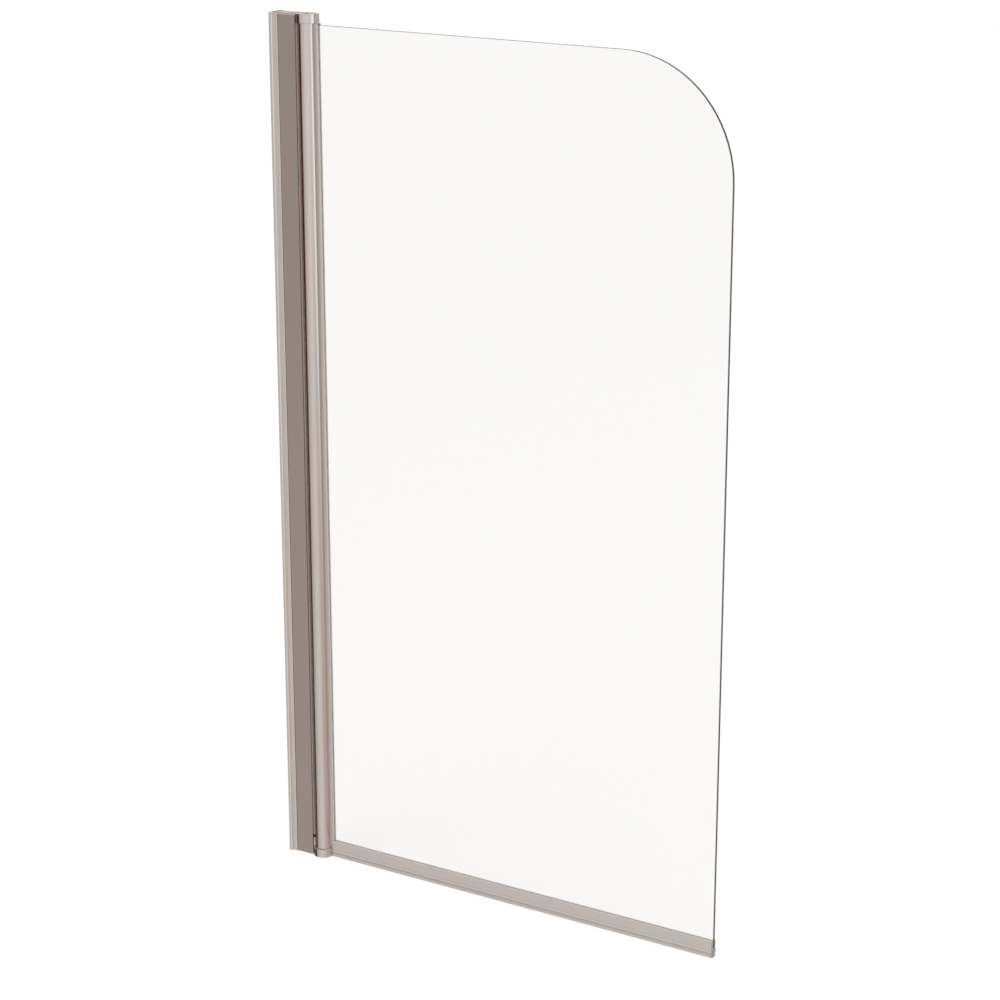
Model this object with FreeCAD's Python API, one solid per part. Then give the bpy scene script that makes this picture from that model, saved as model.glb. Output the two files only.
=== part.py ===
"""A pivoting bath screen: a wall profile, a sliding expander with a top and a bottom pivot bracket,
and a glass panel in a round hinge post and a bottom rail.

Frame, in millimetres: X runs from the wall along the closed screen, -Y faces the room and +Y the bath,
and Z runs up from the rim of the bath. The wall is the plane X = 0, and Y = 0 is the plane of the pivot.
"""

import FreeCAD, Part
import math
import os

# Heights and the panel
PROFILE_HEIGHT = 1400.0
GLASS_REACH = 790.0  # from the wall to the outer edge of the glass
GLASS_TOP_DROP = 17.0  # from the top of the profiles to the top of the glass
GLASS_THICKNESS = 6.0
GLASS_CORNER_RADIUS = 180.0
GLASS_ARRIS = 0.5
GLASS_OFFSET = 4.7  # from the pivot's plane to the middle of the glass, towards the bath
GLASS_EDGE_GAP = 1.0  # from the floor of the post's slot to the edge of the glass

# Wall channel
CHANNEL_WEB = 2.5
CHANNEL_LIP = 1.5
LIP_END_ROUNDING = 0.7
LIP_COVER = 2.2  # how far the lips still cover the expander when it is fully out
BEAD_DEPTH = 5.6  # from the wall
BEAD_WIDTH = 3.7  # beyond the lip
BEAD_ROUNDING = 2.0
INNER_LEG = 2.0
INNER_LEG_TRIM = 12.0  # cut back at each end, clear of the brackets
LEG_PAST_SLOT = 2.0
WALL_HOLE_RADIUS = 2.75
WALL_HOLE_PITCH = 400.0
WALL_HOLE_COUNT = 4

# Expander
EXPANDER_DEPTH = 22.0  # across the room and bath faces
EXPANDER_WALL = 1.8
ADJUST_TRAVEL = 4.0  # each way from the middle
SLIDE_GAP = 0.3
CRADLE_GAP = 2.8  # from the post to the hollow that it turns in
CRADLE_WALL = 2.2
CRADLE_TIP = 0.9  # thickness left at the cradle's tips
PORT_RADIUS = 3.2
PORT_BORE = 1.9
PORT_SPREAD = 10.4
PORT_INSET = 2.2  # from the back of the cradle wall to the middle of a port
PORT_ROOM = 1.75  # between the ports and the wall channel's inner legs, fully in
SEAL_ANGLE = 28.0  # of each hinge seal, from the line to the wall
SEAL_ROOT_WIDTH = 2.0
SEAL_ROOT_DEPTH = 1.4
SEAL_FIN = 1.0
SEAL_POST_GAP = 0.3
SEAL_START = 36.0

# Adjusting screws, through the bath face of the expander
ADJUST_SCREW_RADIUS = 1.7
ADJUST_HEAD_RADIUS = 3.0
ADJUST_HEAD_HEIGHT = 2.2
ADJUST_SLOT_GAP = 0.3
ADJUST_END_DISTANCE = 150.0
ADJUST_COUNT = 3
COVER_WALL = 1.0
COVER_CHAMFER = 0.8
COVER_GAP = 0.3
CLAMP_NUT_WIDTH = 8.0
CLAMP_NUT_HEIGHT = 3.2
CLAMP_GAP = 0.1

# Pivot brackets and pins
BRACKET_PLATE = 3.0
EYE_HEIGHT = 14.3
EYE_GAP = 0.3  # from the eye to the cradle, the post's end and the channel cap
EYE_CHAMFER = 0.5
RIB_HEIGHT = 6.0
RIB_THICKNESS = 2.0
RIB_GAP = 0.1
TONGUE_TOP = 30.0  # of the bottom eye's tongues, which close the post's gap below the hinge seals
TONGUE_WIDTH = 2.4
TONGUE_THICKNESS = 1.6
PIN_RADIUS = 4.0
PIN_RECESS = 1.0
PIN_REACH = 20.0  # into the post
PIN_SOCKET = 4.0  # across flats
PIN_SOCKET_DEPTH = 3.0
BRACKET_SCREW_LENGTH = 16.0
BRACKET_SCREW_HEAD_RADIUS = 3.4
BRACKET_SCREW_HEAD_HEIGHT = 1.8
CROSS_LENGTH = 4.3
CROSS_WIDTH = 0.9
CROSS_DEPTH = 1.2

# Hinge post
POST_RADIUS = 14.0
POST_WALL = 1.8
POST_WEB = 1.8
BUSH_WALL = 1.45
BUSH_RUNNING_GAP = 0.05
BUSH_FLANGE = 1.2
BUSH_FLANGE_RADIUS = 7.6
BUSH_END_GAP = 0.1  # below and round the flange
RING_WALL = 1.6
SLOT_FLOOR = 1.1  # beyond the ring, which it runs into
SLOT_DEPTH = 11.6
SLOT_WALL = 1.8
LIP_ROUNDING = 0.6
CHANNEL_CAP_PROUD = 0.2
CHANNEL_CAP_SPIGOT_GAP = 0.3

# Glazing gaskets
GASKET = 1.2
GASKET_BEAD = 1.2
GASKET_BEAD_RISE = 0.9
GASKET_BEAD_ROUNDING = 0.8

# Bottom rail, across its own middle plane and up from the rim of the bath
RAIL_GROUND_GAP = 0.4
RAIL_TOP = 28.2
RAIL_WALL = 1.3
RAIL_FLOOR = 1.6
RAIL_SHOULDER = 2.4  # height of the rounded top edge
RAIL_TOP_LAND = 0.5
RAIL_COVE_TOP = 13.0
RAIL_COVE = 3.0
RAIL_COVE_DEPTH = 0.8
RAIL_NOSE = 3.4
RAIL_DRIP = 1.8
RAIL_DRIP_DEPTH = 1.1
RAIL_DRIP_SLOPE = 0.6
RAIL_FOOT_DEPTH = 0.3
RAIL_FOOT_LIP = 1.4
RAIL_SEAT_HALF_WIDTH = 3.2
RAIL_MOUTH_HALF_WIDTH = 2.2
RAIL_START_GAP = 0.2  # beyond the eye's own gap
RAIL_POST_GAP = 0.8
WIPER_GAP = 0.1
WIPER_BODY_HEIGHT = 4.0
WIPER_BLADE_HEIGHT = 0.9
WIPER_BLADE_GAP = 2.4
FIN_REACH = 4.3
FIN_DROP = 4.2
FIN_THICKNESS = 1.4
FIN_TIP = 0.6
PLUG_FLANGE = 1.2
PLUG_SPIGOT = 8.0

# Places worked out from the sizes above
half_depth = EXPANDER_DEPTH / 2
lip_inner = half_depth + SLIDE_GAP
lip_outer = lip_inner + CHANNEL_LIP
bead_outer = lip_outer + BEAD_WIDTH
leg_outer = half_depth - EXPANDER_WALL - SLIDE_GAP
leg_inner = leg_outer - INNER_LEG
expander_start = CHANNEL_WEB + SLIDE_GAP + ADJUST_TRAVEL
lip_reach = expander_start + ADJUST_TRAVEL + LIP_COVER
cover_radius = ADJUST_HEAD_RADIUS + COVER_WALL
adjust_x = lip_reach + ADJUST_TRAVEL + cover_radius + COVER_GAP
slot_half = ADJUST_TRAVEL + ADJUST_SCREW_RADIUS + ADJUST_SLOT_GAP
leg_reach = adjust_x + slot_half + LEG_PAST_SLOT
port_x = leg_reach + ADJUST_TRAVEL + PORT_ROOM + PORT_RADIUS
port_y = PORT_SPREAD / 2

cradle_radius = POST_RADIUS + CRADLE_GAP
cradle_back = cradle_radius + CRADLE_WALL
pivot_x = port_x + math.sqrt((cradle_back + PORT_INSET) ** 2 - port_y**2)
tip_x = pivot_x - math.sqrt((cradle_radius + CRADLE_TIP) ** 2 - half_depth**2)
eye_radius = cradle_radius - EYE_GAP

post_bottom = EYE_HEIGHT + EYE_GAP
post_top = PROFILE_HEIGHT - EYE_HEIGHT - EYE_GAP
bush_inner = PIN_RADIUS + BUSH_RUNNING_GAP
bush_outer = bush_inner + BUSH_WALL
ring_outer = bush_outer + RING_WALL
flange_seat = EYE_HEIGHT - BUSH_FLANGE + EYE_GAP - BUSH_END_GAP

slot_half_width = GLASS_THICKNESS / 2 + GASKET
channel_half_width = slot_half_width + SLOT_WALL
slot_floor_x = pivot_x + ring_outer + SLOT_FLOOR
slot_lip_x = slot_floor_x + SLOT_DEPTH

rail_start = pivot_x + eye_radius + EYE_GAP + RAIL_START_GAP
rail_end = GLASS_REACH - PLUG_FLANGE
rail_half = slot_half_width + RAIL_WALL
notch_x = rail_start - RAIL_START_GAP
notch_top = RAIL_TOP + RAIL_POST_GAP

glass_bottom = post_bottom + EYE_GAP
glass_top = PROFILE_HEIGHT - GLASS_TOP_DROP
glass_start = slot_floor_x + GLASS_EDGE_GAP
rail_seat = glass_bottom - GASKET
rail_floor_bottom = rail_seat - RAIL_FLOOR

UP = FreeCAD.Vector(0, 0, 1)


def block(x0, x1, y0, y1, z0, z1):
    """A box between two opposite corners."""
    return Part.makeBox(x1 - x0, y1 - y0, z1 - z0, FreeCAD.Vector(x0, y0, z0))


def rod(radius, x, y, z0, z1):
    """An upright cylinder."""
    return Part.makeCylinder(radius, z1 - z0, FreeCAD.Vector(x, y, z0), UP)


def both_sides(shape):
    """The shape and its mirror image across the pivot's plane, as one solid."""
    return shape.fuse(shape.mirror(FreeCAD.Vector(0, 0, 0), FreeCAD.Vector(0, 1, 0)))


def upside_down(shape):
    """The shape turned into its counterpart at the other end of the profiles."""
    return shape.mirror(FreeCAD.Vector(0, 0, PROFILE_HEIGHT / 2), UP)


def is_upright(edge):
    """True for a straight edge along Z."""
    start, end = edge.Vertexes[0].Point, edge.Vertexes[-1].Point
    return abs(start.x - end.x) < 1e-6 and abs(start.y - end.y) < 1e-6


def round_upright(shape, radius, corners):
    """The shape with its upright edges at the given XY corners rounded."""
    edges = []
    for edge in shape.Edges:
        point = edge.Vertexes[0].Point
        near = any(math.hypot(point.x - x, point.y - y) < 1e-3 for x, y in corners)
        if near and is_upright(edge):
            edges.append(edge)
    return shape.makeFillet(radius, edges)


def is_arc(item):
    """True for an outline's arc, which is a (through, end) pair of points."""
    return isinstance(item[0], tuple)


def rail_prism(outline, x0, x1):
    """An extrusion along X of a closed outline of (y, z) points and arcs, about the glass's middle plane."""

    def place(point):
        return FreeCAD.Vector(x0, GLASS_OFFSET + point[0], point[1])

    edges = []
    here = place(outline[0])
    for item in outline[1:] + outline[:1]:
        there = place(item[1] if is_arc(item) else item)
        curve = Part.Arc(here, place(item[0]), there) if is_arc(item) else Part.LineSegment(here, there)
        edges.append(curve.toShape())
        here = there
    return Part.Face(Part.Wire(edges)).extrude(FreeCAD.Vector(x1 - x0, 0, 0))


def adjust_heights():
    """The height of each adjusting screw."""
    pitch = (PROFILE_HEIGHT - 2 * ADJUST_END_DISTANCE) / (ADJUST_COUNT - 1)
    return [ADJUST_END_DISTANCE + i * pitch for i in range(ADJUST_COUNT)]


def wall_hole_heights():
    """The height of each hole for a wall screw."""
    first = PROFILE_HEIGHT / 2 - WALL_HOLE_PITCH * (WALL_HOLE_COUNT - 1) / 2
    return [first + i * WALL_HOLE_PITCH for i in range(WALL_HOLE_COUNT)]


def wall_channel():
    """The extrusion screwed to the wall: beaded lips outside the expander and slotted legs inside it."""
    web = block(0, CHANNEL_WEB, -bead_outer, bead_outer, 0, PROFILE_HEIGHT)
    bead = block(0, BEAD_DEPTH, lip_inner, bead_outer, 0, PROFILE_HEIGHT)
    bead = round_upright(bead, BEAD_ROUNDING, [(BEAD_DEPTH, bead_outer)])
    lip = block(0, lip_reach, lip_inner, lip_outer, 0, PROFILE_HEIGHT)
    lip = round_upright(lip, LIP_END_ROUNDING, [(lip_reach, lip_outer)])
    leg = block(0, leg_reach, leg_inner, leg_outer, INNER_LEG_TRIM, PROFILE_HEIGHT - INNER_LEG_TRIM)
    side = bead.fuse([lip, leg])
    channel = web.fuse(both_sides(side))
    slots = [adjust_slot(z) for z in adjust_heights()]
    holes = [
        Part.makeCylinder(WALL_HOLE_RADIUS, CHANNEL_WEB, FreeCAD.Vector(0, 0, z), FreeCAD.Vector(1, 0, 0))
        for z in wall_hole_heights()
    ]
    return channel.cut(slots + holes).removeSplitter()


def adjust_slot(z):
    """The round-ended slot in the bath side's inner leg that lets the expander slide."""
    half_height = ADJUST_SCREW_RADIUS + ADJUST_SLOT_GAP
    straight = slot_half - half_height
    y0, y1 = leg_inner, leg_outer
    slot = block(adjust_x - straight, adjust_x + straight, y0, y1, z - half_height, z + half_height)
    ends = [
        Part.makeCylinder(half_height, y1 - y0, FreeCAD.Vector(x, y0, z), FreeCAD.Vector(0, 1, 0))
        for x in (adjust_x - straight, adjust_x + straight)
    ]
    return slot.fuse(ends)


def across(radius, y0, y1, z):
    """A cylinder along Y at the adjusting screws' distance from the wall."""
    return Part.makeCylinder(radius, y1 - y0, FreeCAD.Vector(adjust_x, y0, z), FreeCAD.Vector(0, 1, 0))


def adjust_screws():
    """Flat-headed screws that clamp the expander to the wall channel's inner leg."""
    nut_end = leg_inner - CLAMP_GAP - CLAMP_NUT_HEIGHT
    screws = []
    for z in adjust_heights():
        head = across(ADJUST_HEAD_RADIUS, half_depth, half_depth + ADJUST_HEAD_HEIGHT, z)
        shank = across(ADJUST_SCREW_RADIUS, nut_end, half_depth, z)
        screws.append(head.fuse(shank))
    return Part.makeCompound(screws)


def bath_rim(disc):
    """The round edge of a disc's bath side."""
    circles = [edge for edge in disc.Edges if isinstance(edge.Curve, Part.Circle)]
    return [max(circles, key=lambda edge: edge.CenterOfMass.y)]


def clamp_nuts():
    """Square nuts inside the wall channel, one on each adjusting screw."""
    half = CLAMP_NUT_WIDTH / 2
    top = leg_inner - CLAMP_GAP
    nuts = []
    for z in adjust_heights():
        nut = block(adjust_x - half, adjust_x + half, top - CLAMP_NUT_HEIGHT, top, z - half, z + half)
        nuts.append(nut.cut(across(ADJUST_SCREW_RADIUS, top - CLAMP_NUT_HEIGHT, top, z)))
    return Part.makeCompound(nuts)


def screw_covers():
    """Snap-on covers over the adjusting screws' heads."""
    inner_top = half_depth + ADJUST_HEAD_HEIGHT
    covers = []
    for z in adjust_heights():
        cover = across(cover_radius, half_depth, inner_top + COVER_WALL, z)
        cover = cover.makeChamfer(COVER_CHAMFER, bath_rim(cover))
        covers.append(cover.cut(across(ADJUST_HEAD_RADIUS, half_depth, inner_top, z)))
    return Part.makeCompound(covers)


def expander_profile():
    """The box-shaped extrusion that slides in the wall channel and cradles the post."""
    z0, z1 = BRACKET_PLATE, PROFILE_HEIGHT - BRACKET_PLATE
    outer = block(expander_start, tip_x, -half_depth, half_depth, z0, z1)
    inner_half = half_depth - EXPANDER_WALL
    hollow = block(expander_start, tip_x, -inner_half, inner_half, z0, z1)
    hollow = hollow.cut(rod(cradle_back, pivot_x, 0, z0, z1))
    port = rod(PORT_RADIUS, port_x, port_y, z0, z1)
    profile = outer.cut(hollow).fuse(both_sides(port))
    cuts = [rod(cradle_radius, pivot_x, 0, z0, z1), both_sides(rod(PORT_BORE, port_x, port_y, z0, z1))]
    cuts += [seal_groove(side, z0, z1) for side in (-1, 1)]
    cuts += [across(ADJUST_SCREW_RADIUS, inner_half, half_depth, z) for z in adjust_heights()]
    return profile.cut(cuts).removeSplitter()


def radial_bar(side, r0, r1, width, z0, z1):
    """A bar from r0 to r1 off the pivot, at a hinge seal's angle on the room (-1) or bath (1) side."""
    bar = block(-r1, -r0, -width / 2, width / 2, z0, z1)
    bar.rotate(FreeCAD.Vector(0, 0, 0), UP, -side * SEAL_ANGLE)
    bar.translate(FreeCAD.Vector(pivot_x, 0, 0))
    return bar


def seal_groove(side, z0, z1):
    """What is cut from the cradle for a hinge seal's root, open to the hollow."""
    r0, r1 = cradle_radius - SEAL_ROOT_DEPTH, cradle_radius + SEAL_ROOT_DEPTH
    return radial_bar(side, r0, r1, SEAL_ROOT_WIDTH, z0, z1)


def hinge_seal(side):
    """A rubber strip in the cradle whose fin closes the gap to the post."""
    z0, z1 = SEAL_START, post_top
    root_end = cradle_radius + SEAL_ROOT_DEPTH
    root = radial_bar(side, cradle_radius, root_end, SEAL_ROOT_WIDTH, z0, z1)
    fin = radial_bar(side, POST_RADIUS + SEAL_POST_GAP, cradle_radius, SEAL_FIN, z0, z1)
    return root.fuse(fin).removeSplitter()


def bracket():
    """A casting as it stands at the bottom: a plate across the expander's end, ribs inside it and an eye."""
    plate = block(expander_start, pivot_x, -half_depth, half_depth, 0, BRACKET_PLATE)
    eye = rod(eye_radius, pivot_x, 0, 0, EYE_HEIGHT)
    circles = [edge for edge in eye.Edges if isinstance(edge.Curve, Part.Circle)]
    eye = eye.makeChamfer(EYE_CHAMFER, [max(circles, key=lambda edge: edge.CenterOfMass.z)])
    rib_outer = half_depth - EXPANDER_WALL - RIB_GAP
    rib_end = port_x - PORT_RADIUS
    rib = block(
        expander_start,
        rib_end,
        rib_outer - RIB_THICKNESS,
        rib_outer,
        BRACKET_PLATE,
        BRACKET_PLATE + RIB_HEIGHT,
    )
    body = plate.fuse([eye, both_sides(rib)])
    seat = rod(BUSH_FLANGE_RADIUS, pivot_x, 0, flange_seat, EYE_HEIGHT)
    bore = rod(PIN_RADIUS, pivot_x, 0, 0, EYE_HEIGHT)
    return body.cut([seat, bore, both_sides(bracket_screw_room())]).removeSplitter()


def bottom_bracket():
    """The bottom casting, whose eye also carries an upright tongue below each hinge seal."""
    r0 = POST_RADIUS + SEAL_POST_GAP
    r1 = r0 + TONGUE_THICKNESS
    foot = EYE_HEIGHT - EYE_CHAMFER
    tongues = [radial_bar(side, r0, r1, TONGUE_WIDTH, foot, TONGUE_TOP) for side in (-1, 1)]
    return bracket().fuse(tongues).removeSplitter()


def bracket_screw_room():
    """A counterbored hole through the bracket's plate, over one port."""
    head = rod(BRACKET_SCREW_HEAD_RADIUS, port_x, port_y, 0, BRACKET_SCREW_HEAD_HEIGHT)
    return head.fuse(rod(PORT_BORE, port_x, port_y, 0, BRACKET_PLATE))


def bracket_screws():
    """Two screws, flush with the bottom bracket's plate, that hold it to the expander's ports."""
    screw = bracket_screw_room().fuse(rod(PORT_BORE, port_x, port_y, 0, BRACKET_SCREW_LENGTH))
    half_length, half_width = CROSS_LENGTH / 2, CROSS_WIDTH / 2
    slots = [
        block(port_x - a, port_x + a, port_y - b, port_y + b, 0, CROSS_DEPTH)
        for a, b in ((half_length, half_width), (half_width, half_length))
    ]
    screw = screw.cut(slots).removeSplitter()
    return Part.makeCompound([screw, screw.mirror(FreeCAD.Vector(0, 0, 0), FreeCAD.Vector(0, 1, 0))])


def pivot_pin():
    """The bottom pin, pressed into the eye, with a hexagon socket in its outer end."""
    pin = rod(PIN_RADIUS, pivot_x, 0, PIN_RECESS, post_bottom + PIN_REACH)
    corner = PIN_SOCKET / math.sqrt(3)
    points = [
        FreeCAD.Vector(
            pivot_x + corner * math.cos(math.radians(60 * i)),
            corner * math.sin(math.radians(60 * i)),
            PIN_RECESS,
        )
        for i in range(7)
    ]
    socket = Part.Face(Part.makePolygon(points)).extrude(FreeCAD.Vector(0, 0, PIN_SOCKET_DEPTH))
    return pin.cut(socket)


def bush():
    """The bottom bush: a flanged sleeve in the post's ring, round the pin."""
    sleeve = rod(bush_outer, pivot_x, 0, flange_seat + BUSH_END_GAP, post_bottom + PIN_REACH)
    flange = rod(
        BUSH_FLANGE_RADIUS - BUSH_END_GAP, pivot_x, 0, flange_seat + BUSH_END_GAP, post_bottom
    )
    bore = rod(bush_inner, pivot_x, 0, 0, post_bottom + PIN_REACH)
    return sleeve.fuse(flange).cut(bore).removeSplitter()


def channel_box(x0, x1, half_width, z0, z1):
    """A box centred on the glass."""
    return block(x0, x1, GLASS_OFFSET - half_width, GLASS_OFFSET + half_width, z0, z1)


def hinge_post():
    """The round extrusion that turns on the pins, with a bearing ring inside and a slot for the glass."""
    z0, z1 = post_bottom, post_top
    channel = channel_box(pivot_x, slot_lip_x, channel_half_width, z0, z1)
    lips = [(slot_lip_x, GLASS_OFFSET + side * channel_half_width) for side in (-1, 1)]
    channel = round_upright(channel, LIP_ROUNDING, lips)
    outer = rod(POST_RADIUS, pivot_x, 0, z0, z1).fuse(channel)
    web = block(pivot_x - POST_RADIUS, pivot_x, -POST_WEB / 2, POST_WEB / 2, z0, z1)
    kept = [
        channel_box(pivot_x + bush_outer, slot_lip_x, channel_half_width, z0, z1),
        rod(ring_outer, pivot_x, 0, z0, z1),
        web,
    ]
    hollow = rod(POST_RADIUS - POST_WALL, pivot_x, 0, z0, z1).cut(kept)
    bore = rod(bush_outer, pivot_x, 0, z0, z1)
    slot = channel_box(slot_floor_x, slot_lip_x, slot_half_width, z0, z1)
    return outer.cut([hollow, bore, slot, rail_notch()]).removeSplitter()


def rail_notch():
    """What is cut off the foot of the slot's lips, to let the bottom rail in."""
    half_width = channel_half_width + GASKET_BEAD_RISE
    return channel_box(notch_x, slot_lip_x + GASKET_BEAD, half_width, 0, notch_top)


def channel_cap():
    """The moulded cap on the slot's upper end, hollowed on its inner side to pass the eye."""
    half_width = channel_half_width + CHANNEL_CAP_PROUD
    end_x = slot_lip_x + CHANNEL_CAP_PROUD
    body = channel_box(pivot_x, end_x - half_width, half_width, post_top, PROFILE_HEIGHT)
    body = body.fuse(rod(half_width, end_x - half_width, GLASS_OFFSET, post_top, PROFILE_HEIGHT))
    body = body.cut(rod(eye_radius + EYE_GAP, pivot_x, 0, post_top, PROFILE_HEIGHT))
    spigot_x = pivot_x + eye_radius
    spigot_bottom = glass_top + CHANNEL_CAP_SPIGOT_GAP
    spigot = channel_box(spigot_x, slot_lip_x - LIP_ROUNDING, slot_half_width, spigot_bottom, post_top)
    return body.fuse(spigot).removeSplitter()


def glass_panel():
    """Toughened glass with one rounded corner and an arris round both faces."""
    y0, y1 = GLASS_OFFSET - GLASS_THICKNESS / 2, GLASS_OFFSET + GLASS_THICKNESS / 2
    glass = block(glass_start, GLASS_REACH, y0, y1, glass_bottom, glass_top)
    corner = [
        edge
        for edge in glass.Edges
        if edge.CenterOfMass.x > GLASS_REACH - 1e-3 and edge.CenterOfMass.z > glass_top - 1e-3
    ]
    glass = glass.makeFillet(GLASS_CORNER_RADIUS, corner)
    rims = [edge for edge in glass.Edges if abs(edge.BoundBox.YLength) < 1e-3]
    return glass.makeChamfer(GLASS_ARRIS, rims)


def glazing_gasket(side):
    """The wedge strip between the glass and one wall of the post's slot, with a bead outside it."""
    face = GLASS_OFFSET + side * GLASS_THICKNESS / 2
    wall = GLASS_OFFSET + side * slot_half_width
    bead = wall + side * GASKET_BEAD_RISE
    strip = block(slot_floor_x, slot_lip_x, min(face, wall), max(face, wall), post_bottom, glass_top)
    lip = block(
        slot_lip_x,
        slot_lip_x + GASKET_BEAD,
        min(face, bead),
        max(face, bead),
        post_bottom,
        glass_top,
    )
    lip = round_upright(lip, GASKET_BEAD_ROUNDING, [(slot_lip_x + GASKET_BEAD, bead)])
    return strip.fuse(lip).cut(rail_notch()).removeSplitter()


def rail_side(sign):
    """One side of the rail's outer outline, from its top land down to its foot."""
    cove_y = rail_half - RAIL_COVE_DEPTH
    cove_low = RAIL_COVE_TOP - RAIL_COVE
    nose_low = cove_low - RAIL_NOSE
    drip_y = rail_half - RAIL_DRIP_DEPTH
    drip_low = nose_low - RAIL_DRIP
    foot_y = rail_half - RAIL_FOOT_DEPTH
    shoulder_z = RAIL_TOP - RAIL_SHOULDER
    top_y = slot_half_width + RAIL_TOP_LAND
    shoulder_radius = (RAIL_SHOULDER**2 + (rail_half - top_y) ** 2) / (2 * (rail_half - top_y))
    half_turn = math.asin(RAIL_SHOULDER / shoulder_radius) / 2
    bend = (
        rail_half - shoulder_radius * (1 - math.cos(half_turn)),
        shoulder_z + shoulder_radius * math.sin(half_turn),
    )
    outline = [
        (top_y, RAIL_TOP),
        (bend, (rail_half, shoulder_z)),
        (rail_half, RAIL_COVE_TOP),
        (cove_y, RAIL_COVE_TOP - RAIL_COVE_DEPTH),
        (cove_y, cove_low),
        ((rail_half, cove_low - RAIL_NOSE / 2), (cove_y, nose_low)),
        (drip_y, nose_low - RAIL_DRIP_SLOPE),
        (drip_y, drip_low),
        (foot_y, drip_low - RAIL_FOOT_DEPTH),
        (foot_y, RAIL_GROUND_GAP),
    ]

    def turned(item):
        if is_arc(item):
            return tuple(turned(point) for point in item)
        return (sign * item[0], item[1])

    return [turned(item) for item in outline]


def reversed_outline(outline):
    """The same open outline walked the other way."""
    ends = [item[1] if is_arc(item) else item for item in outline]
    walked = [ends[-1]]
    for i in range(len(outline) - 1, 0, -1):
        walked.append((outline[i][0], ends[i - 1]) if is_arc(outline[i]) else ends[i - 1])
    return walked


def rail_solid(x0, x1):
    """The rail's outer shape, filled but for the glass's slot."""
    outline = rail_side(-1) + reversed_outline(rail_side(1))
    solid = rail_prism(outline, x0, x1)
    return solid.cut(channel_box(x0, x1, slot_half_width, rail_seat, RAIL_TOP))


def bottom_rail():
    """The extrusion along the glass's foot, open below for the wiper seal."""
    seat = channel_box(
        rail_start, rail_end, RAIL_SEAT_HALF_WIDTH, RAIL_GROUND_GAP + RAIL_FOOT_LIP, rail_floor_bottom
    )
    mouth = channel_box(
        rail_start, rail_end, RAIL_MOUTH_HALF_WIDTH, RAIL_GROUND_GAP, RAIL_GROUND_GAP + RAIL_FOOT_LIP
    )
    return rail_solid(rail_start, rail_end).cut([seat, mouth]).removeSplitter()


def rail_gasket():
    """The U-shaped rubber channel between the rail and the glass."""
    outer = channel_box(rail_start, GLASS_REACH, slot_half_width, rail_seat, RAIL_TOP)
    inner = channel_box(rail_start, GLASS_REACH, GLASS_THICKNESS / 2, glass_bottom, RAIL_TOP)
    return outer.cut(inner)


def wiper_seal():
    """The rubber seal in the rail's open foot, with two blades that wipe the bath's rim."""
    x0, x1 = rail_start, rail_end - PLUG_SPIGOT
    lip_top = RAIL_GROUND_GAP + RAIL_FOOT_LIP
    body = channel_box(
        x0, x1, RAIL_SEAT_HALF_WIDTH - WIPER_GAP, lip_top, lip_top + WIPER_BODY_HEIGHT
    )
    neck = channel_box(x0, x1, RAIL_MOUTH_HALF_WIDTH - WIPER_GAP, 0, lip_top)
    gap = channel_box(x0, x1, WIPER_BLADE_GAP / 2, 0, WIPER_BLADE_HEIGHT)
    return body.fuse(neck).cut(gap).removeSplitter()


def drip_fin():
    """The soft fin on the rail's bath side that throws water back into the bath."""
    root_y = rail_half - RAIL_COVE_DEPTH
    top = RAIL_COVE_TOP - RAIL_COVE_DEPTH
    outline = [
        (root_y, top),
        (rail_half, top),
        (rail_half + FIN_REACH, top - FIN_DROP),
        (rail_half + FIN_REACH - FIN_TIP, top - FIN_DROP - FIN_TIP),
        (rail_half, top - FIN_THICKNESS),
        (root_y, RAIL_COVE_TOP - RAIL_COVE),
    ]
    return rail_prism(outline, rail_start, GLASS_REACH)


def rail_end_plug():
    """The moulded end of the rail, with a spigot up its open foot."""
    flange = rail_solid(rail_end, GLASS_REACH)
    spigot = channel_box(
        rail_end - PLUG_SPIGOT,
        rail_end,
        RAIL_SEAT_HALF_WIDTH - WIPER_GAP,
        RAIL_GROUND_GAP + RAIL_FOOT_LIP,
        rail_floor_bottom - WIPER_GAP,
    )
    return flange.fuse(spigot).removeSplitter()


def main():
    os.makedirs("parts", exist_ok=True)
    parts = {
        "wall_channel": wall_channel(),
        "expander_profile": expander_profile(),
        "adjust_screws": adjust_screws(),
        "clamp_nuts": clamp_nuts(),
        "screw_covers": screw_covers(),
        "hinge_seal_front": hinge_seal(-1),
        "hinge_seal_rear": hinge_seal(1),
        "bottom_bracket": bottom_bracket(),
        "top_bracket": upside_down(bracket()),
        "bottom_bracket_screws": bracket_screws(),
        "top_bracket_screws": upside_down(bracket_screws()),
        "bottom_pivot_pin": pivot_pin(),
        "top_pivot_pin": upside_down(pivot_pin()),
        "bottom_bush": bush(),
        "top_bush": upside_down(bush()),
        "hinge_post": hinge_post(),
        "channel_cap": channel_cap(),
        "glass_panel": glass_panel(),
        "glazing_gasket_front": glazing_gasket(-1),
        "glazing_gasket_rear": glazing_gasket(1),
        "bottom_rail": bottom_rail(),
        "rail_gasket": rail_gasket(),
        "wiper_seal": wiper_seal(),
        "drip_fin": drip_fin(),
        "rail_end_plug": rail_end_plug(),
    }
    for name, shape in parts.items():
        shape.exportStep(f"parts/{name}.step")


main()
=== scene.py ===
"""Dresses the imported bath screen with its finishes, and sets up the floor, lights and camera.

Everything is in metres in the CAD frame: X out from the wall along the closed screen, -Y to the
room, +Y to the bath and Z up. A bearing is an angle round Z from -Y towards +X, in degrees.
Colours are in sRGB with 255 as white. A level above 255 is brighter than white.
"""

import math

import bpy
from mathutils import Matrix, Vector


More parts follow.
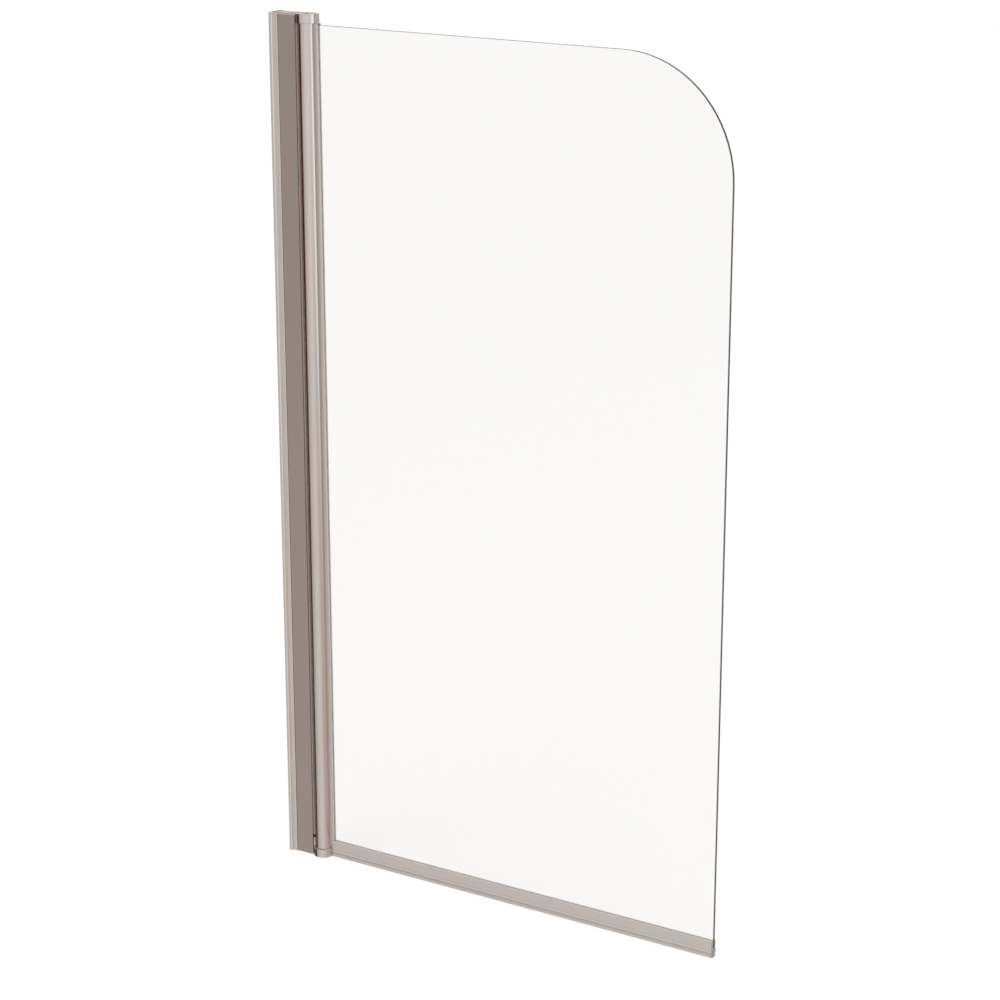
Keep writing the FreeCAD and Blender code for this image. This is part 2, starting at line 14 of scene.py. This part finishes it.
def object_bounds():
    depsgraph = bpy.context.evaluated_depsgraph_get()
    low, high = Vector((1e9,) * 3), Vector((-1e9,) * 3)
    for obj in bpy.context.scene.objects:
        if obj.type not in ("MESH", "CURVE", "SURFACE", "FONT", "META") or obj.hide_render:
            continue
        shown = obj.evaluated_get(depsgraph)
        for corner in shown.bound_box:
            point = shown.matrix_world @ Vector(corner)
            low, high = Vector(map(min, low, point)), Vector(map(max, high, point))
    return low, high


# The camera: where it stands, how far it turns from +Y towards -X and how far it looks down
CAMERA_PLACE = (2.435, -3.311, 1.881)
CAMERA_TURN = 31.5
CAMERA_TILT = 17.2
CAMERA_LENS = 95.0
CAMERA_SENSOR = 36.0

# Colours of the surfaces
CHANNEL_METAL = (222, 214, 210)
EXPANDER_METAL = (181, 167, 160)
POST_METAL = (204, 196, 189)
RAIL_METAL = (222, 215, 210)
BRACKET_METAL = (206, 198, 190)
STEEL = (172, 172, 172)
CLEAR_GLASS = (249, 248, 247)
# Painted shade: the glass edges are coloured this dark brown in place of the dark inside of the
# panel that shows through them
GLASS_EDGE_PAINTED_SHADE = (54, 36, 20)
SEAL = (206, 194, 182)
CLEAR_SEAL = (233, 227, 219)
NYLON = (232, 230, 222)
MOULDING = (182, 174, 167)

# How a texture is drawn out: not at all, or along one axis as drawing, extruding and polishing do
EVEN = (1.0, 1.0, 1.0)
ALONG_X = (0.004, 1.0, 1.0)
ALONG_Z = (1.0, 1.0, 0.004)
SEAL_GRAIN = (1.0, 1.0, 0.2)
GLASS_WAVES = (1.0, 1.0, 0.35)

# The bottom bracket's plate is finished like the expander, and runs into the eye at this X
PLATE_END = 0.0423
# The panel's skin is drawn in by this, so that light gets between it and its gaskets
GLASS_AIR = 0.00003

# The floor gives off a glow by itself, which softens the shadow
FLOOR_HALF_SIZE = 30.0
FLOOR_GLOW = 0.81
FLOOR_COLOUR = 0.25
SKY_LIGHT = 0.85

# Each lamp: where it stands, its side and its power in watts
KEY_LAMP = ((-1.6, -3.2, 3.2), 3.0, 26.0)
FILL_LAMP = ((3.4, -1.6, 2.4), 2.4, 14.0)

# What polished surfaces see round the object, as a bearing and a colour. The far tones show in the
# upper half of the upright profiles and the near ones in their lower half.
FAR_TONES = (
    (-180, (200, 198, 188)),
    (-105, (225, 220, 214)),
    (-85, (80, 22, 12)),
    (-48, (80, 22, 12)),
    (-42, (208, 206, 205)),
    (-13, (229, 228, 228)),
    (11, (250, 249, 248)),
    (40, (255, 255, 255)),
    (68, (242, 240, 241)),
    (86, (244, 243, 245)),
    (92, (286, 296, 312)),
    (122, (286, 296, 312)),
    (130, (236, 235, 233)),
    (180, (200, 198, 188)),
)
NEAR_TONES = (
    (-180, (200, 198, 188)),
    (-105, (225, 220, 214)),
    (-85, (74, 60, 52)),
    (-56, (74, 60, 52)),
    (-50, (208, 206, 205)),
    (-13, (229, 228, 228)),
    (11, (246, 245, 244)),
    (40, (244, 242, 241)),
    (78, (216, 202, 199)),
    (150, (216, 202, 199)),
    (180, (200, 198, 188)),
)
OVERHEAD_TONE = (226, 224, 221)

# The sines of the slopes between which one tone passes into the next
NEAR_TO_FAR = (-0.31, -0.21)
FAR_TO_OVERHEAD = (0.15, 0.5)


def linear(colour):
    """A colour as a linear RGBA."""
    values = []
    for level in colour:
        c = level / 255
        values.append(c / 12.92 if c <= 0.04045 else ((c + 0.055) / 1.055) ** 2.4)
    return (*values, 1.0)


class Nodes:
    """A small helper round a material's or the world's node tree."""

    def __init__(self, owner):
        owner.use_nodes = True
        self.tree = owner.node_tree
        self.tree.nodes.clear()

    def add(self, kind, **inputs):
        """A node of that kind with its attributes and, by socket name, its input values set."""
        node = self.tree.nodes.new(kind)
        for key, value in inputs.items():
            if hasattr(node, key):
                setattr(node, key, value)
            else:
                node.inputs[key.replace("_", " ")].default_value = value
        return node

    def join(self, source, target):
        self.tree.links.new(source, target)

    def worked_out(self, operation, *values):
        """The result of a sum whose values are sockets or numbers."""
        node = self.add("ShaderNodeMath", operation=operation)
        for socket, value in zip(node.inputs, values):
            if isinstance(value, bpy.types.NodeSocket):
                self.join(value, socket)
            else:
                socket.default_value = value
        return node.outputs["Value"]

    def axes(self, coordinate):
        """The X, Y and Z of a texture coordinate."""
        where = self.add("ShaderNodeTexCoord")
        split = self.add("ShaderNodeSeparateXYZ")
        self.join(where.outputs[coordinate], split.inputs["Vector"])
        return split.outputs


def stretched_noise(nodes, stretch, scale, detail=3.0):
    """Noise in object space, drawn out along one or more axes."""
    where = nodes.add("ShaderNodeTexCoord")
    mapping = nodes.add("ShaderNodeMapping", Scale=stretch)
    nodes.join(where.outputs["Object"], mapping.inputs["Vector"])
    noise = nodes.add("ShaderNodeTexNoise", Scale=scale, Detail=detail, Roughness=0.55)
    nodes.join(mapping.outputs["Vector"], noise.inputs["Vector"])
    return noise.outputs["Fac"]


def spread(nodes, value, low, high, start=0.0, end=1.0):
    """The value from start to end remapped to run from low to high, and held beyond them."""
    limits = {"From_Min": start, "From_Max": end, "To_Min": low, "To_Max": high}
    ranged = nodes.add("ShaderNodeMapRange", **limits)
    nodes.join(value, ranged.inputs["Value"])
    return ranged.outputs["Result"]


def tinted(nodes, value, colour, contrast):
    """A colour that the value makes a little darker and lighter."""
    node = nodes.add("ShaderNodeValToRGB")
    base = linear(colour)[:3]
    darkest, lightest = node.color_ramp.elements
    darkest.color = (*(c * (1 - contrast) for c in base), 1)
    lightest.color = (*(min(1, c * (1 + contrast)) for c in base), 1)
    nodes.join(value, node.inputs["Fac"])
    return node.outputs["Color"]


def bumped(nodes, value, depth):
    """A normal bent by the value, with that depth in metres."""
    bump = nodes.add("ShaderNodeBump", Strength=0.6, Distance=depth)
    nodes.join(value, bump.inputs["Height"])
    return bump.outputs["Normal"]


def blended(nodes, factor, first, second):
    """One colour turning into another as the factor runs from 0 to 1."""
    mix = nodes.add("ShaderNodeMix", data_type="RGBA")
    nodes.join(factor, mix.inputs["Factor"])
    nodes.join(first, mix.inputs["A"])
    nodes.join(second, mix.inputs["B"])
    return mix.outputs["Result"]


def finished(material, nodes, shader):
    """The material, with the shader as its surface."""
    output = nodes.add("ShaderNodeOutputMaterial")
    nodes.join(shader.outputs["BSDF"], output.inputs["Surface"])
    return material


def metal(name, colour, roughness, grain, plate_colour=None):
    """Plated or anodised metal with the fine lines of drawing and polishing along `grain`.

    The plate colour, if there is one, is for the wall side of PLATE_END.
    """
    material = bpy.data.materials.new(name)
    nodes = Nodes(material)
    shader = nodes.add("ShaderNodeBsdfPrincipled", Metallic=1.0)
    lines = stretched_noise(nodes, grain, scale=900.0)
    clouds = stretched_noise(nodes, EVEN, scale=7.0)
    base = tinted(nodes, clouds, colour, contrast=0.04)
    if plate_colour:
        on_plate = nodes.worked_out("LESS_THAN", nodes.axes("Object")["X"], PLATE_END)
        plate = tinted(nodes, clouds, plate_colour, contrast=0.04)
        base = blended(nodes, on_plate, base, plate)
    nodes.join(base, shader.inputs["Base Color"])
    worn = spread(nodes, lines, roughness * 0.7, roughness * 1.3)
    nodes.join(worn, shader.inputs["Roughness"])
    nodes.join(bumped(nodes, lines, depth=0.000003), shader.inputs["Normal"])
    return finished(material, nodes, shader)


def rubber(name, colour):
    """Soft extruded rubber, matte, with a fine grain."""
    material = bpy.data.materials.new(name)
    nodes = Nodes(material)
    shader = nodes.add("ShaderNodeBsdfPrincipled", Roughness=0.55, IOR=1.5)
    grain = stretched_noise(nodes, SEAL_GRAIN, scale=1500.0)
    clouds = stretched_noise(nodes, EVEN, scale=30.0)
    nodes.join(tinted(nodes, clouds, colour, contrast=0.06), shader.inputs["Base Color"])
    nodes.join(bumped(nodes, grain, depth=0.00002), shader.inputs["Normal"])
    return finished(material, nodes, shader)


def plastic(name, colour, roughness, metallic=0.0):
    """Moulded plastic with the faint orange peel of a mould."""
    material = bpy.data.materials.new(name)
    nodes = Nodes(material)
    shader = nodes.add("ShaderNodeBsdfPrincipled", Metallic=metallic, IOR=1.49)
    peel = stretched_noise(nodes, EVEN, scale=700.0)
    clouds = stretched_noise(nodes, EVEN, scale=60.0)
    nodes.join(tinted(nodes, clouds, colour, contrast=0.03), shader.inputs["Base Color"])
    worn = spread(nodes, peel, roughness * 0.85, roughness * 1.15)
    nodes.join(worn, shader.inputs["Roughness"])
    nodes.join(bumped(nodes, peel, depth=0.000008), shader.inputs["Normal"])
    return finished(material, nodes, shader)


def glass(name, colour, edge_shade_colour):
    """Clear glass whose ground edges are rougher and less clear and carry a painted dark shade for
    the panel's dark inside seen through them, with the faint waves that toughening leaves.
    """
    material = bpy.data.materials.new(name)
    nodes = Nodes(material)
    shader = nodes.add("ShaderNodeBsdfPrincipled", IOR=1.52)
    across = nodes.worked_out("ABSOLUTE", nodes.axes("Normal")["Y"])
    edge = spread(nodes, across, 1.0, 0.0)
    # Painted shade: the edges turn dark brown instead of showing the panel's dark inside through
    # them
    tint = nodes.add("ShaderNodeMix", data_type="RGBA")
    tint.inputs["A"].default_value = linear(colour)
    tint.inputs["B"].default_value = linear(edge_shade_colour)
    nodes.join(edge, tint.inputs["Factor"])
    nodes.join(tint.outputs["Result"], shader.inputs["Base Color"])
    nodes.join(spread(nodes, edge, 1.0, 0.2), shader.inputs["Transmission Weight"])
    nodes.join(spread(nodes, edge, 0.0, 0.3), shader.inputs["Roughness"])
    waves = stretched_noise(nodes, GLASS_WAVES, scale=9.0, detail=1.0)
    nodes.join(bumped(nodes, waves, depth=0.00005), shader.inputs["Normal"])
    return finished(material, nodes, shader)


def finish_of_each_node():
    """The material for every CAD node."""
    channel = metal("channel_metal", CHANNEL_METAL, 0.2, ALONG_Z)
    expander = metal("expander_metal", EXPANDER_METAL, 0.25, ALONG_Z)
    post = metal("post_metal", POST_METAL, 0.16, ALONG_Z)
    rail = metal("rail_metal", RAIL_METAL, 0.25, ALONG_X)
    top_bracket = metal("bracket_metal", BRACKET_METAL, 0.16, EVEN)
    bottom_bracket = metal("bottom_bracket_metal", BRACKET_METAL, 0.16, EVEN, EXPANDER_METAL)
    steel = metal("steel", STEEL, 0.3, EVEN)
    seal = rubber("seal_rubber", SEAL)
    clear_seal = rubber("clear_seal", CLEAR_SEAL)
    nylon = plastic("nylon", NYLON, 0.4)
    moulding = plastic("moulding", MOULDING, 0.25, metallic=0.6)
    return {
        "wall_channel": channel,
        "expander_profile": expander,
        "adjust_screws": steel,
        "clamp_nuts": steel,
        "screw_covers": moulding,
        "hinge_seal_front": seal,
        "hinge_seal_rear": seal,
        "bottom_bracket": bottom_bracket,
        "top_bracket": top_bracket,
        "bottom_bracket_screws": steel,
        "top_bracket_screws": steel,
        "bottom_pivot_pin": steel,
        "top_pivot_pin": steel,
        "bottom_bush": nylon,
        "top_bush": nylon,
        "hinge_post": post,
        "channel_cap": moulding,
        "glass_panel": glass("clear_glass", CLEAR_GLASS, GLASS_EDGE_PAINTED_SHADE),
        "glazing_gasket_front": clear_seal,
        "glazing_gasket_rear": clear_seal,
        "bottom_rail": rail,
        "rail_gasket": clear_seal,
        "wiper_seal": seal,
        "drip_fin": seal,
        "rail_end_plug": moulding,
    }


def dress(cad_nodes):
    """Gives every CAD node its material.

    The panel stays out of shadows and of the metal's reflections.
    """
    for name, material in finish_of_each_node().items():
        mesh = cad_nodes[name].data
        mesh.materials.clear()
        mesh.materials.append(material)
    panel = cad_nodes["glass_panel"]
    panel.visible_shadow = panel.visible_glossy = False
    skin = panel.modifiers.new("skin", "DISPLACE")
    skin.mid_level, skin.strength = 0.0, -GLASS_AIR


def background_rays(nodes):
    """1 for a ray that should see the plain white background, and 0 for one that carries light."""
    rays = nodes.add("ShaderNodeLightPath").outputs
    seen = nodes.worked_out("MAXIMUM", rays["Is Camera Ray"], rays["Is Glossy Ray"])
    return nodes.worked_out("MAXIMUM", seen, rays["Is Transmission Ray"])


def mirrored_rays(nodes):
    """1 for a ray that a surface mirrors, and 0 for any other, also for one that glass bends."""
    rays = nodes.add("ShaderNodeLightPath").outputs
    return nodes.worked_out("SUBTRACT", rays["Is Glossy Ray"], rays["Is Transmission Ray"])


def toned(nodes, turn, tones):
    """The colour for a turn from 0 at a bearing of -180 to 1 at 180."""
    node = nodes.add("ShaderNodeValToRGB")
    stops = node.color_ramp.elements
    stops[0].color = linear(tones[0][1])
    stops[-1].color = linear(tones[-1][1])
    for bearing, colour in tones[1:-1]:
        stops.new((bearing + 180) / 360).color = linear(colour)
    nodes.join(turn, node.inputs["Fac"])
    return node.outputs["Color"]


def reflected_studio(nodes):
    """What polished surfaces see: soft tones all round, dark to the wall, and one overhead."""
    direction = nodes.axes("Generated")
    to_room = nodes.worked_out("MULTIPLY", direction["Y"], -1.0)
    bearing = nodes.worked_out("ARCTAN2", direction["X"], to_room)
    turn = spread(nodes, bearing, 0.0, 1.0, -math.pi, math.pi)
    nearness = spread(nodes, direction["Z"], 1.0, 0.0, *NEAR_TO_FAR)
    far, near = toned(nodes, turn, FAR_TONES), toned(nodes, turn, NEAR_TONES)
    around = blended(nodes, nearness, far, near)
    overhead = nodes.add("ShaderNodeRGB").outputs["Color"]
    overhead.default_value = linear(OVERHEAD_TONE)
    height = spread(nodes, direction["Z"], 0.0, 1.0, *FAR_TO_OVERHEAD)
    return blended(nodes, height, around, overhead)


def chosen(nodes, factor, first, second):
    """The first background where the factor is 0 and the second where it is 1."""
    mix = nodes.add("ShaderNodeMixShader")
    nodes.join(factor, mix.inputs["Fac"])
    nodes.join(first, mix.inputs[1])
    nodes.join(second, mix.inputs[2])
    return mix.outputs["Shader"]


def make_world():
    """A white surround that lights the object softly, with a toned studio in its reflections.

    The backdrop is as bright as the far floor, so that no horizon shows through the glass.
    """
    world = bpy.data.worlds.new("studio")
    bpy.context.scene.world = world
    nodes = Nodes(world)
    white = linear((255, 255, 255))
    far_floor = FLOOR_GLOW + FLOOR_COLOUR * SKY_LIGHT
    light = nodes.add("ShaderNodeBackground", Color=white, Strength=SKY_LIGHT)
    backdrop = nodes.add("ShaderNodeBackground", Color=white, Strength=far_floor)
    studio = nodes.add("ShaderNodeBackground", Strength=1.0)
    nodes.join(reflected_studio(nodes), studio.inputs["Color"])
    plain = chosen(nodes, background_rays(nodes), light.outputs[0], backdrop.outputs[0])
    surround = chosen(nodes, mirrored_rays(nodes), plain, studio.outputs[0])
    nodes.join(surround, nodes.add("ShaderNodeOutputWorld").inputs["Surface"])


def floor_material():
    """A pale surface that looks plain white but keeps a soft share of the object's shadow."""
    material = bpy.data.materials.new("floor")
    nodes = Nodes(material)
    matte = nodes.add("ShaderNodeBsdfDiffuse", Color=(*[FLOOR_COLOUR] * 3, 1))
    glow = nodes.add("ShaderNodeEmission")
    strength = nodes.worked_out("MULTIPLY", background_rays(nodes), FLOOR_GLOW)
    both = nodes.add("ShaderNodeAddShader")
    output = nodes.add("ShaderNodeOutputMaterial")
    nodes.join(strength, glow.inputs["Strength"])
    nodes.join(matte.outputs["BSDF"], both.inputs[0])
    nodes.join(glow.outputs["Emission"], both.inputs[1])
    nodes.join(both.outputs["Shader"], output.inputs["Surface"])
    return material


def make_floor(height):
    """A wide floor under the object and no part of it. Reflections see the studio in its place."""
    h = FLOOR_HALF_SIZE
    corners = [(-h, -h, height), (h, -h, height), (h, h, height), (-h, h, height)]
    mesh = bpy.data.meshes.new("floor")
    mesh.from_pydata(corners, [], [range(4)])
    mesh.materials.append(floor_material())
    floor = bpy.data.objects.new("floor", mesh)
    floor.visible_glossy = False
    bpy.context.scene.collection.objects.link(floor)


def softbox(name, place, side, power, aim):
    """A square lamp turned to the aim, which shows neither directly nor through the glass."""
    data = bpy.data.lights.new(name, "AREA")
    data.shape, data.size, data.energy = "SQUARE", side, power
    lamp = bpy.data.objects.new(name, data)
    lamp.location = place
    lamp.rotation_euler = (Vector(aim) - Vector(place)).to_track_quat("-Z", "Y").to_euler()
    lamp.visible_camera = lamp.visible_transmission = False
    bpy.context.scene.collection.objects.link(lamp)
    return lamp


def make_lights(centre):
    """A large soft key, kept out of the reflections, and a fill from the other side."""
    key = softbox("key", *KEY_LAMP, centre)
    key.visible_glossy = False
    softbox("fill", *FILL_LAMP, centre)


def make_camera():
    """The photo's viewpoint, without a shift of the lens."""
    data = bpy.data.cameras.new("camera")
    data.lens = CAMERA_LENS
    data.sensor_width = CAMERA_SENSOR
    camera = bpy.data.objects.new("camera", data)
    turn = Matrix.Rotation(math.radians(CAMERA_TURN), 4, "Z")
    tilt = Matrix.Rotation(math.radians(90 - CAMERA_TILT), 4, "X")
    camera.matrix_world = Matrix.Translation(CAMERA_PLACE) @ turn @ tilt
    bpy.context.scene.collection.objects.link(camera)
    bpy.context.scene.camera = camera


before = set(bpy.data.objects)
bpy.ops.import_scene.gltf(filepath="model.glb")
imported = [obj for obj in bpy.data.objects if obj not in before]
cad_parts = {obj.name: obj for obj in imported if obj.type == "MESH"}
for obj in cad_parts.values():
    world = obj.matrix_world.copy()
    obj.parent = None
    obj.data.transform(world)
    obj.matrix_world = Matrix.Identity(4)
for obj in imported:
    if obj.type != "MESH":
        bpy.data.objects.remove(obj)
cad_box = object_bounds()
bpy.context.scene.view_settings.view_transform = "Standard"
dress(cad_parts)
make_world()
make_floor(cad_box[0].z)
make_lights((cad_box[0] + cad_box[1]) / 2)
make_camera()
